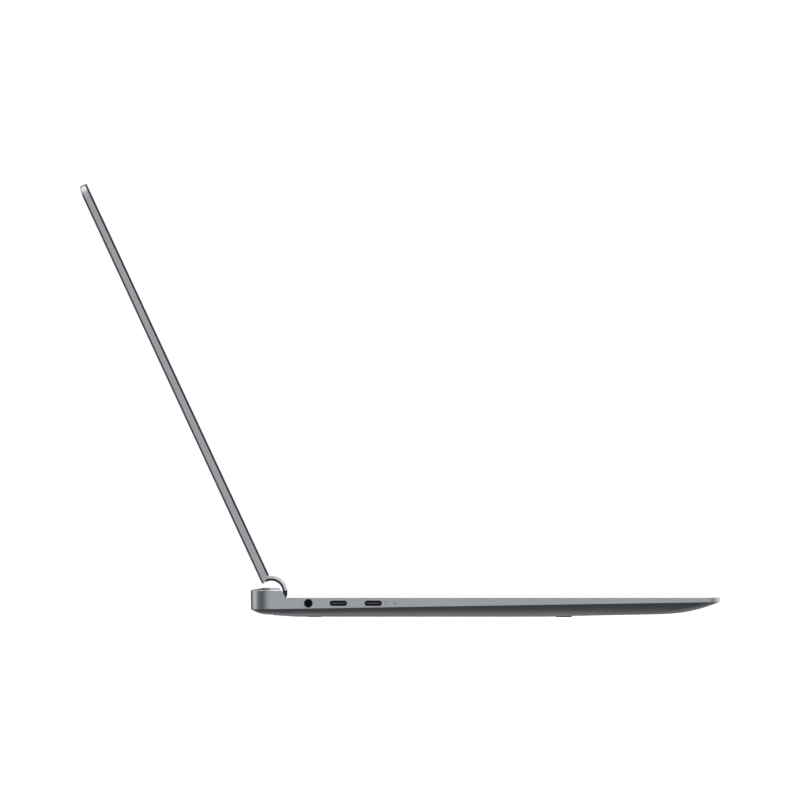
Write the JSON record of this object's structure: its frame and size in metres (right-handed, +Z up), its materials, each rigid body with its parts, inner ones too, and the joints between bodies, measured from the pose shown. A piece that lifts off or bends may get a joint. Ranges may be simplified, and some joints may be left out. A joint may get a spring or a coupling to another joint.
{
  "type": "laptop computer",
  "caption": "Thin metal laptop with its lid open on a crescent hinge at a raised rear strip, a tapering base, round and oval sockets in the left side, and moving keys, touchpad and fans.",
  "frame": {"origin": "on the desk plane below the middle of the base's outline", "axes": "+X to the user's right along the width, -Y towards the front edge and the user, +Z up"},
  "size_m": [0.312, 0.3084, 0.209],
  "materials": {
    "case_metal": "bead-blasted grey anodised",
    "steel": "dark coated steel",
    "rubber": "matt",
    "circuit_board": "solder mask",
    "chip_package": "moulded",
    "copper": "satin copper",
    "fin_metal": "plain",
    "dark_plastic": "moulded black",
    "battery_pouch": "dark foil",
    "display_cover": "glossy black glass",
    "display_metal": "plain",
    "touchpad_surface": "etched glass, satin",
    "light_pipe": "clear diffusing",
    "key_plastic": "fine matt"
  },
  "bodies": {
    "base": {"top_case": "case_metal", "bottom_cover": "case_metal", "bottom_screws": "steel", "rubber_foot_rear": "rubber", "rubber_foot_front": "rubber", "hinge_track_right": "steel", "hinge_track_left": "steel", "hinge_track_screws": "steel", "keyboard_plate": "steel", "key_domes": "rubber", "motherboard": "circuit_board", "processor": "chip_package", "heat_pipe": "copper", "heat_sink_fins": "fin_metal", "fan_housing_right": "dark_plastic", "fan_housing_left": "dark_plastic", "battery_cells": "battery_pouch", "ssd_card": "circuit_board", "speaker_right": "dark_plastic", "speaker_left": "dark_plastic", "touchpad_bracket": "steel", "audio_jack": "dark_plastic", "usb_c_port_rear": "steel", "usb_c_port_front": "steel", "charging_light": "light_pipe", "io_board": "circuit_board"},
    "lid": {"lid_back_cover": "case_metal", "lid_gasket": "rubber", "display_glass": "display_cover", "display_panel": "display_metal", "camera_module": "dark_plastic", "microphone_board": "circuit_board", "lid_magnets": "steel", "hinge_arm_right": "steel", "hinge_arm_left": "steel", "hinge_cover_right": "case_metal", "hinge_cover_left": "case_metal", "lid_hinge_screws": "steel"},
    "fan_impeller_left_body": {"fan_impeller_left": "dark_plastic"},
    "fan_impeller_right_body": {"fan_impeller_right": "dark_plastic"},
    "touchpad_body": {"touchpad": "touchpad_surface"},
    "key_escape_body": {"key_escape": "key_plastic"},
    "power_key_body": {"power_key": "key_plastic"},
    "key_backspace_body": {"key_backspace": "key_plastic"},
    "key_tab_body": {"key_tab": "key_plastic"},
    "key_caps_lock_body": {"key_caps_lock": "key_plastic"},
    "key_enter_body": {"key_enter": "key_plastic"},
    "key_shift_left_body": {"key_shift_left": "key_plastic"},
    "key_shift_right_body": {"key_shift_right": "key_plastic"},
    "key_space_body": {"key_space": "key_plastic"},
    "key_arrow_left_body": {"key_arrow_left": "key_plastic"},
    "key_arrow_up_body": {"key_arrow_up": "key_plastic"},
    "key_arrow_down_body": {"key_arrow_down": "key_plastic"},
    "key_arrow_right_body": {"key_arrow_right": "key_plastic"},
    "keys_function_row_body": {"keys_function_row": "key_plastic"},
    "keys_number_row_body": {"keys_number_row": "key_plastic"},
    "keys_upper_letter_row_body": {"keys_upper_letter_row": "key_plastic"},
    "keys_home_letter_row_body": {"keys_home_letter_row": "key_plastic"},
    "keys_lower_letter_row_body": {"keys_lower_letter_row": "key_plastic"},
    "keys_modifier_row_body": {"keys_modifier_row": "key_plastic"}
  },
  "joints": [
    {"name": "lid_hinge", "type": "hinge", "parent": "base", "child": "lid", "pos_m": [0, 0.1032, 0.01211], "axis": [-1, 0, 0], "range_deg": [-115, 20]},
    {"name": "fan_left_spin", "type": "hinge", "parent": "base", "child": "fan_impeller_left_body", "pos_m": [-0.068, 0.06, 0.004], "axis": [0, 0, 1], "continuous": true},
    {"name": "fan_right_spin", "type": "hinge", "parent": "base", "child": "fan_impeller_right_body", "pos_m": [0.068, 0.06, 0.004], "axis": [0, 0, 1], "continuous": true},
    {"name": "touchpad_click", "type": "hinge", "parent": "base", "child": "touchpad_body", "pos_m": [0, -0.03, 0.0083], "axis": [1, 0, 0], "range_deg": [0, 0.4], "stiffness_Nm_per_rad": 15, "springref_deg": -0.23},
    {"name": "key_escape_press", "type": "slide", "parent": "base", "child": "key_escape_body", "axis": [0, 0, -1], "range_m": [0, 0.0012], "stiffness_N_per_m": 450, "springref_m": -0.0003},
    {"name": "power_key_press", "type": "slide", "parent": "base", "child": "power_key_body", "axis": [0, 0, -1], "range_m": [0, 0.0012], "stiffness_N_per_m": 450, "springref_m": -0.0003},
    {"name": "key_backspace_press", "type": "slide", "parent": "base", "child": "key_backspace_body", "axis": [0, 0, -1], "range_m": [0, 0.0012], "stiffness_N_per_m": 450, "springref_m": -0.0003},
    {"name": "key_tab_press", "type": "slide", "parent": "base", "child": "key_tab_body", "axis": [0, 0, -1], "range_m": [0, 0.0012], "stiffness_N_per_m": 450, "springref_m": -0.0003},
    {"name": "key_caps_lock_press", "type": "slide", "parent": "base", "child": "key_caps_lock_body", "axis": [0, 0, -1], "range_m": [0, 0.0012], "stiffness_N_per_m": 450, "springref_m": -0.0003},
    {"name": "key_enter_press", "type": "slide", "parent": "base", "child": "key_enter_body", "axis": [0, 0, -1], "range_m": [0, 0.0012], "stiffness_N_per_m": 450, "springref_m": -0.0003},
    {"name": "key_shift_left_press", "type": "slide", "parent": "base", "child": "key_shift_left_body", "axis": [0, 0, -1], "range_m": [0, 0.0012], "stiffness_N_per_m": 450, "springref_m": -0.0003},
    {"name": "key_shift_right_press", "type": "slide", "parent": "base", "child": "key_shift_right_body", "axis": [0, 0, -1], "range_m": [0, 0.0012], "stiffness_N_per_m": 450, "springref_m": -0.0003},
    {"name": "key_space_press", "type": "slide", "parent": "base", "child": "key_space_body", "axis": [0, 0, -1], "range_m": [0, 0.0012], "stiffness_N_per_m": 450, "springref_m": -0.0003},
    {"name": "key_arrow_left_press", "type": "slide", "parent": "base", "child": "key_arrow_left_body", "axis": [0, 0, -1], "range_m": [0, 0.0012], "stiffness_N_per_m": 450, "springref_m": -0.0003},
    {"name": "key_arrow_up_press", "type": "slide", "parent": "base", "child": "key_arrow_up_body", "axis": [0, 0, -1], "range_m": [0, 0.0012], "stiffness_N_per_m": 450, "springref_m": -0.0003},
    {"name": "key_arrow_down_press", "type": "slide", "parent": "base", "child": "key_arrow_down_body", "axis": [0, 0, -1], "range_m": [0, 0.0012], "stiffness_N_per_m": 450, "springref_m": -0.0003},
    {"name": "key_arrow_right_press", "type": "slide", "parent": "base", "child": "key_arrow_right_body", "axis": [0, 0, -1], "range_m": [0, 0.0012], "stiffness_N_per_m": 450, "springref_m": -0.0003},
    {"name": "keys_function_row_press", "type": "slide", "parent": "base", "child": "keys_function_row_body", "axis": [0, 0, -1], "range_m": [0, 0.0012], "stiffness_N_per_m": 5850, "springref_m": -0.0003},
    {"name": "keys_number_row_press", "type": "slide", "parent": "base", "child": "keys_number_row_body", "axis": [0, 0, -1], "range_m": [0, 0.0012], "stiffness_N_per_m": 5850, "springref_m": -0.0003},
    {"name": "keys_upper_letter_row_press", "type": "slide", "parent": "base", "child": "keys_upper_letter_row_body", "axis": [0, 0, -1], "range_m": [0, 0.0012], "stiffness_N_per_m": 5850, "springref_m": -0.0003},
    {"name": "keys_home_letter_row_press", "type": "slide", "parent": "base", "child": "keys_home_letter_row_body", "axis": [0, 0, -1], "range_m": [0, 0.0012], "stiffness_N_per_m": 4950, "springref_m": -0.0003},
    {"name": "keys_lower_letter_row_press", "type": "slide", "parent": "base", "child": "keys_lower_letter_row_body", "axis": [0, 0, -1], "range_m": [0, 0.0012], "stiffness_N_per_m": 4500, "springref_m": -0.0003},
    {"name": "keys_modifier_row_press", "type": "slide", "parent": "base", "child": "keys_modifier_row_body", "axis": [0, 0, -1], "range_m": [0, 0.0012], "stiffness_N_per_m": 2700, "springref_m": -0.0003}
  ]
}
